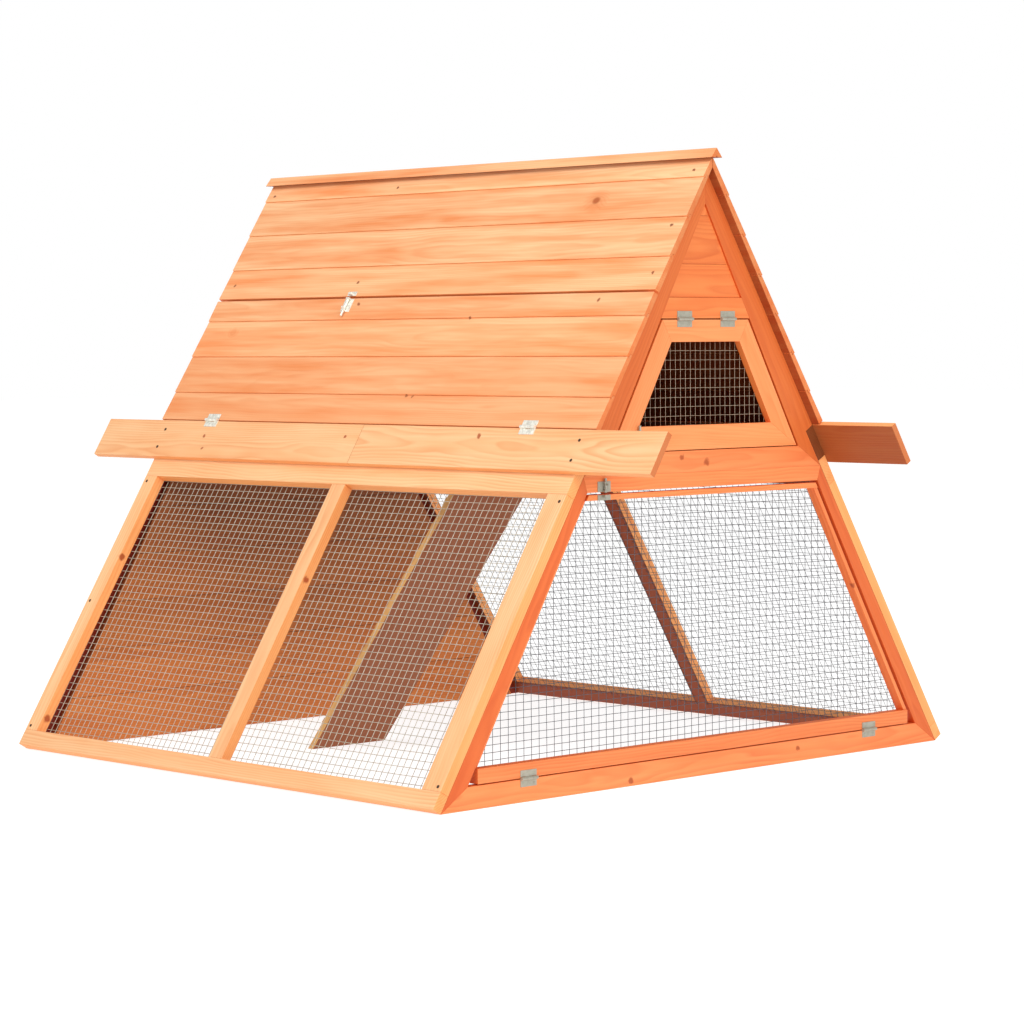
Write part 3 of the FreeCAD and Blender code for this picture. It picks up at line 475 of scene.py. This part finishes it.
def grain_frame(bm):
    """A board's middle, and its directions along, across and through."""
    longest = max(bm.edges, key=lambda e: e.calc_length())
    along = (longest.verts[1].co - longest.verts[0].co).normalized()
    sides = [f for f in bm.faces if abs(f.normal.dot(along)) < 0.2]
    through = max(sides, key=lambda f: f.calc_area()).normal.copy()
    through = (through - along * through.dot(along)).normalized()
    return middle(bm), along, through.cross(along), through


# A ramp's flat faces take this much painted shade as a turn inwards and its side edges none, so the pale ramp wood
# reads as lit there; the second number weakens the painted shade on roof and handle boards.
RAMP_TURNED = 0.85          # how far turned in a ramp's flat faces count
ROOF_TURNED = 0.85          # what a roof or handle board's turn is weakened by


def turned_in(normal, centre, facing):
    """How far a face is turned into the coop, which sets its painted shade: 0 faces out of its slope or gable, 1
    in.
    """
    if facing == "ramp":
        return 0.0 if abs(normal.x) > SQUARE else RAMP_TURNED
    if facing == "gable":
        outward = Vector((0, math.copysign(1, centre.y), 0))
    elif facing == "ridge":
        outward = Vector((0, 0, 1))
    else:
        outward = Vector((math.copysign(SLOPE_UP.z, centre.x), 0, SLOPE_UP.x))
    turned = (1 - normal.dot(outward)) / 2
    return turned * ROOF_TURNED if facing == "roof" else turned


def board(bm, chance, edge, end_shade, facing):
    """Eases a board's edges and writes down where each point is in the board."""
    centre, along, across, through = grain_frame(bm)
    ease(bm, edge, 2)
    grain = bm.verts.layers.float_vector.new("grain")
    luck = bm.verts.layers.float_vector.new("board")
    end = bm.faces.layers.float.new("end")
    inside_shade = bm.faces.layers.float.new("inside_shade")
    values = Vector((chance.random(), chance.random(), chance.random()))
    for vertex in bm.verts:
        offset = vertex.co - centre
        vertex[grain] = Vector((offset.dot(along), offset.dot(across), offset.dot(through)))
        vertex[luck] = values
    for face in bm.faces:
        face[end] = end_shade if abs(face.normal.dot(along)) > 0.6 else 0.0
        # How far the face is turned in, which sets its painted shade.
        face[inside_shade] = turned_in(face.normal, centre, facing)
    return bm


def wooden(node, material, edge, end_shade, facing):
    """Replaces a wooden node by boards with eased edges and grain."""
    chance = random.Random(node)
    parts = [board(bm, chance, edge, end_shade, facing) for bm in solids_of(node)]
    obj = piece(node + "_wood", parts, material, node)
    smooth(obj)
    return obj


PANEL_NODES = ("left_bottom_rail", "right_bottom_rail", "left_top_rail", "right_top_rail",
               "left_stiles", "right_stiles")
HANDLE_NODES = ("left_handle_boards", "right_handle_boards")
ROOF_NODES = ("left_roof_boards", "right_roof_boards", "roof_door_boards")
LEG_NODES = ("front_legs", "rear_legs")
GABLE_NODES = ("front_run_rails", "rear_run_rails", "front_cross_rail", "rear_cross_rail",
               "run_door_rails", "run_door_stiles")
HATCH_NODES = ("hatch_rails", "hatch_stiles")
PEAK_NODES = ("front_gable_boards", "rear_gable_boards")
RAFTER_NODES = ("front_rafters", "rear_rafters")
INNER_NODES = ("house_side_rails", "left_purlin", "roof_door_battens", "floor_bearers",
               "house_floor", "rear_wall_boards")
RAMP_NODES = ("ramp_board", "ramp_cleats")


def all_wood():
    for nodes, material, edge, end_shade, facing in (
            (PANEL_NODES, SLOPE_WOOD, WOOD_EDGE, 0.0, "slope"),
            (HANDLE_NODES, SLOPE_WOOD, WOOD_EDGE, 0.7, "roof"),
            (ROOF_NODES, ROOF_WOOD, WOOD_EDGE, 0.55, "roof"),
            (("ridge_cap",), ROOF_WOOD, WOOD_EDGE, 0.55, "ridge"),
            (LEG_NODES, LEG_WOOD, GABLE_EDGE, 0.2, "gable"),
            (GABLE_NODES, GABLE_WOOD, GABLE_EDGE, 0.2, "gable"),
            (HATCH_NODES, HATCH_WOOD, GABLE_EDGE, 0.2, "gable"),
            (PEAK_NODES, PEAK_WOOD, GABLE_EDGE, 0.2, "gable"),
            (RAFTER_NODES, RAFTER_WOOD, GABLE_EDGE, 0.2, "gable"),
            (INNER_NODES, INNER_WOOD, WOOD_EDGE, 0.3, "slope"),
            (RAMP_NODES, RAMP_WOOD, WOOD_EDGE, 0.3, "ramp")):
        for node in nodes:
            wooden(node, material, edge, end_shade, facing)


# ---------------------------------------------------------------- wire mesh

def wire_line(bm):
    """The two ends of a straight wire's middle line."""
    longest = max(bm.edges, key=lambda e: e.calc_length())
    half = (longest.verts[1].co - longest.verts[0].co) / 2
    centre = middle(bm)
    return centre - half, centre + half


def strayed(point, across, up, out):
    """Where a point of a panel's mesh really lies: the whole grid wavers together."""
    spot = point / WAVE_LENGTH
    side = noise.noise(spot + SIDE_SHIFT) * WAVE
    rise = noise.noise(spot + RISE_SHIFT) * WAVE
    belly = abs(noise.noise(spot * 0.7 + BELLY_SHIFT)) * BULGE
    jitter = noise.noise(point / JITTER_LENGTH) * JITTER
    return point + across * (side + jitter) + up * (rise - jitter) - out * belly


def tube(bm, points, radius, out):
    """A round wire along points."""
    rings = []
    for i, point in enumerate(points):
        ahead = points[min(i + 1, len(points) - 1)] - points[max(i - 1, 0)]
        side = ahead.cross(out).normalized()
        top = side.cross(ahead).normalized()
        ring = []
        for k in range(WIRE_SIDES):
            turn = 2 * math.pi * k / WIRE_SIDES
            ring.append(bm.verts.new(point + (side * math.cos(turn) + top * math.sin(turn))
                                     * radius))
        rings.append(ring)
    for lower, upper in zip(rings, rings[1:]):
        for k in range(WIRE_SIDES):
            following = (k + 1) % WIRE_SIDES
            bm.faces.new((lower[k], lower[following], upper[following], upper[k]))
    bm.faces.new(list(reversed(rings[0])))
    bm.faces.new(rings[-1])


def wire_mesh(node, out, material, radius):
    """Replaces a node's straight square wires by round ones that waver together."""
    lines = [wire_line(bm) for bm in solids_of(node)]
    up = max((b - a for a, b in lines), key=lambda v: abs(v.z)).normalized()
    if up.z < 0:
        up.negate()
    across = up.cross(out).normalized()
    bm = bmesh.new()
    for start, stop in lines:
        spans = max(2, round((stop - start).length / WIRE_STEP))
        points = [strayed(start.lerp(stop, i / spans), across, up, out)
                  for i in range(spans + 1)]
        tube(bm, points, radius, out)
    bmesh.ops.recalc_face_normals(bm, faces=bm.faces)
    obj = piece(node + "_wires", [bm], material, node)
    obj.data.shade_smooth()
    return obj


def all_wire():
    left_out = Vector((-SLOPE_UP.z, 0, SLOPE_UP.x))
    right_out = Vector((SLOPE_UP.z, 0, SLOPE_UP.x))
    front_out = Vector((0, -1, 0))
    for place in ("front", "rear"):
        wire_mesh(f"left_{place}_mesh", left_out, LIT_SIDE_WIRE, SIDE_WIRE_RADIUS)
        wire_mesh(f"right_{place}_mesh", right_out, SHADED_WIRE, FAR_WIRE_RADIUS)
    wire_mesh("run_door_mesh", front_out, SHADED_WIRE, DOOR_WIRE_RADIUS)
    wire_mesh("hatch_mesh", front_out, LIT_HATCH_WIRE, HATCH_WIRE_RADIUS)


# ---------------------------------------------------------------- hinges, bolts and screws

METAL_NODES = ("fixed_hinge_leaves", "hinge_pins", "bolt_keepers", "run_door_hinge_leaves",
               "hatch_hinge_leaves", "roof_door_hinge_leaves", "run_door_bolt_case",
               "run_door_bolt_keeper", "hatch_bolt_case", "roof_door_bolt_case",
               "run_door_bolt", "hatch_bolt", "roof_door_bolt")
HINGE_SCREW_NODES = ("fixed_hinge_screws", "run_door_hinge_screws", "hatch_hinge_screws",
                     "roof_door_hinge_screws")
SCREW_SIDES = 20
# A head's outline from rim to top, as shares of its radius and height.
SCREW_PROFILE = ((1.0, 0.0), (1.0, 0.35), (0.92, 0.62), (0.75, 0.85), (0.55, 0.97))
CROSS_LONG, CROSS_SHORT = 0.42, 0.14        # the cross recess, as shares of the radius
CROSS_FOOT, CROSS_LEVEL = 0.8, 0.2          # its narrower foot, and how high that lies


def metal(node):
    """Replaces a steel node by one with eased edges."""
    parts = solids_of(node)
    for bm in parts:
        ease(bm, METAL_EDGE, 1)
    obj = piece(node + "_zinc", parts, ZINC, node)
    smooth(obj)
    return obj


def circle(bm, radii, height):
    """A closed row of corners, one at each of the given distances from the middle."""
    return [bm.verts.new((radius * math.cos(2 * math.pi * k / SCREW_SIDES),
                          radius * math.sin(2 * math.pi * k / SCREW_SIDES), height))
            for k, radius in enumerate(radii)]


def screw_head(radius, height):
    """A domed head with a cross recess, standing on z = 0."""
    bm = bmesh.new()
    rows = [circle(bm, [radius * share] * SCREW_SIDES, height * level)
            for share, level in SCREW_PROFILE]
    arms = SCREW_SIDES // 4
    cross = [radius * (CROSS_SHORT if k % arms else CROSS_LONG) for k in range(SCREW_SIDES)]
    recess = circle(bm, cross, height)
    sunk = circle(bm, [reach * CROSS_FOOT for reach in cross], height * CROSS_LEVEL)
    bm.faces.new(list(reversed(rows[0])))
    rows += [recess, sunk]
    for outer, inner in zip(rows, rows[1:]):
        for k in range(SCREW_SIDES):
            following = (k + 1) % SCREW_SIDES
            bm.faces.new((outer[k], outer[following], inner[following], inner[k]))
    bm.faces.new(sunk)
    bmesh.ops.recalc_face_normals(bm, faces=bm.faces)
    return bm


def screws(node, material):
    """Replaces a node's plain discs by domed heads, each turned its own way."""
    chance = random.Random(node)
    heads = []
    for disc in solids_of(node):
        cap = max(disc.faces, key=lambda f: len(f.verts))
        centre = middle(disc)
        axis = cap.normal.copy()
        if axis.dot(Vector((centre.x, centre.y, 0.0))) < 0:
            axis.negate()
        reach = [(v.co - centre) for v in cap.verts]
        radius = max((r - axis * r.dot(axis)).length for r in reach)
        height = 2 * abs(reach[0].dot(axis))
        head = screw_head(radius, height)
        turn = Matrix.Rotation(chance.uniform(0, math.pi), 4, "Z")
        stand = axis.to_track_quat("Z", "Y").to_matrix().to_4x4()
        head.transform(Matrix.Translation(centre - axis * height / 2) @ stand @ turn)
        heads.append(head)
        disc.free()
    obj = piece(node + "_heads", heads, material, node)
    smooth(obj, 40)
    return obj


def all_metal():
    for node in METAL_NODES:
        metal(node)
    for node in HINGE_SCREW_NODES:
        screws(node, ZINC)
    screws("frame_screws", DARK_STEEL)


# ---------------------------------------------------------------- studio

EYE = Vector((-3.8645, -4.1812, 0.7549))
HEADING, TILT, ROLL = 0.756689, -0.056182, -0.007584    # radians, from +Y and the level
LENS = 107.67
FLOOR_HALF = 30.0
FLOOR_DROP = 0.0005         # the floor lies this far below the coop
LIT, SEEN = 0.5, 1.0        # how bright the surround is as a light, and to the camera
# Place, side and power of the lamps.
KEY = ((-4.0, -1.5, 4.5), 3.0, 170.0)
FILL = ((-0.8, -5.0, 2.2), 3.5, 110.0)


def camera():
    """A long lens at chest height, off the coop's front left corner."""
    level = Vector((math.sin(HEADING), math.cos(HEADING), 0.0))
    ahead = level * math.cos(TILT) + Vector((0.0, 0.0, math.sin(TILT)))
    right = Vector((math.cos(HEADING), -math.sin(HEADING), 0.0))
    up = right.cross(ahead)
    turned_right = right * math.cos(ROLL) + up * math.sin(ROLL)
    turned_up = up * math.cos(ROLL) - right * math.sin(ROLL)
    data = bpy.data.cameras.new("camera")
    data.sensor_width = 36.0
    data.lens = LENS
    obj = bpy.data.objects.new("camera", data)
    rotation = Matrix((turned_right, turned_up, -ahead)).transposed().to_4x4()
    obj.matrix_world = Matrix.Translation(EYE) @ rotation
    bpy.context.scene.collection.objects.link(obj)
    bpy.context.scene.camera = obj


def softbox(name, place, size, power):
    """A square area light aimed at the middle of the coop."""
    data = bpy.data.lights.new(name, "AREA")
    data.shape = "SQUARE"
    data.size = size
    data.energy = power
    obj = bpy.data.objects.new(name, data)
    look = Vector((0.0, 0.0, HIGH.z / 2)) - Vector(place)
    obj.matrix_world = (Matrix.Translation(Vector(place))
                        @ look.to_track_quat("-Z", "Y").to_matrix().to_4x4())
    bpy.context.scene.collection.objects.link(obj)


def floor():
    """A plain white floor, with a faint unevenness so that it isn't a flat colour."""
    s = Shader("studio_floor")
    mottle = s.noise(s.add("TexCoord").outputs["Object"], scale=1.5)
    colour = s.mix(mottle, (0.36, 0.36, 0.36, 1.0), (0.4, 0.4, 0.4, 1.0))
    material = s.finish(Base_Color=colour, Roughness=0.9,
                        Emission_Color=(1.0, 1.0, 1.0, 1.0), Emission_Strength=0.82)
    bm = bmesh.new()
    bmesh.ops.create_grid(bm, x_segments=4, y_segments=4, size=FLOOR_HALF)
    mesh = bpy.data.meshes.new("studio_floor")
    bm.to_mesh(mesh)
    bm.free()
    mesh.materials.append(material)
    obj = bpy.data.objects.new("studio_floor", mesh)
    obj.location.z = LOW.z - FLOOR_DROP
    bpy.context.scene.collection.objects.link(obj)


def studio():
    """A white surround, a large key light from the upper left and a low front fill."""
    scene = bpy.context.scene
    scene.view_settings.view_transform = "Standard"
    world = bpy.data.worlds.new("studio")
    scene.world = world
    world.use_nodes = True
    tree = world.node_tree
    background = tree.nodes["Background"]
    background.inputs["Color"].default_value = (1.0, 1.0, 1.0, 1.0)
    seen = tree.nodes.new("ShaderNodeLightPath").outputs["Is Camera Ray"]
    strength = tree.nodes.new("ShaderNodeMapRange")
    strength.inputs["To Min"].default_value = LIT
    strength.inputs["To Max"].default_value = SEEN
    tree.links.new(seen, strength.inputs["Value"])
    tree.links.new(strength.outputs["Result"], background.inputs["Strength"])
    softbox("key", *KEY)
    softbox("fill", *FILL)
    floor()


all_wood()
all_wire()
all_metal()
studio()
camera()
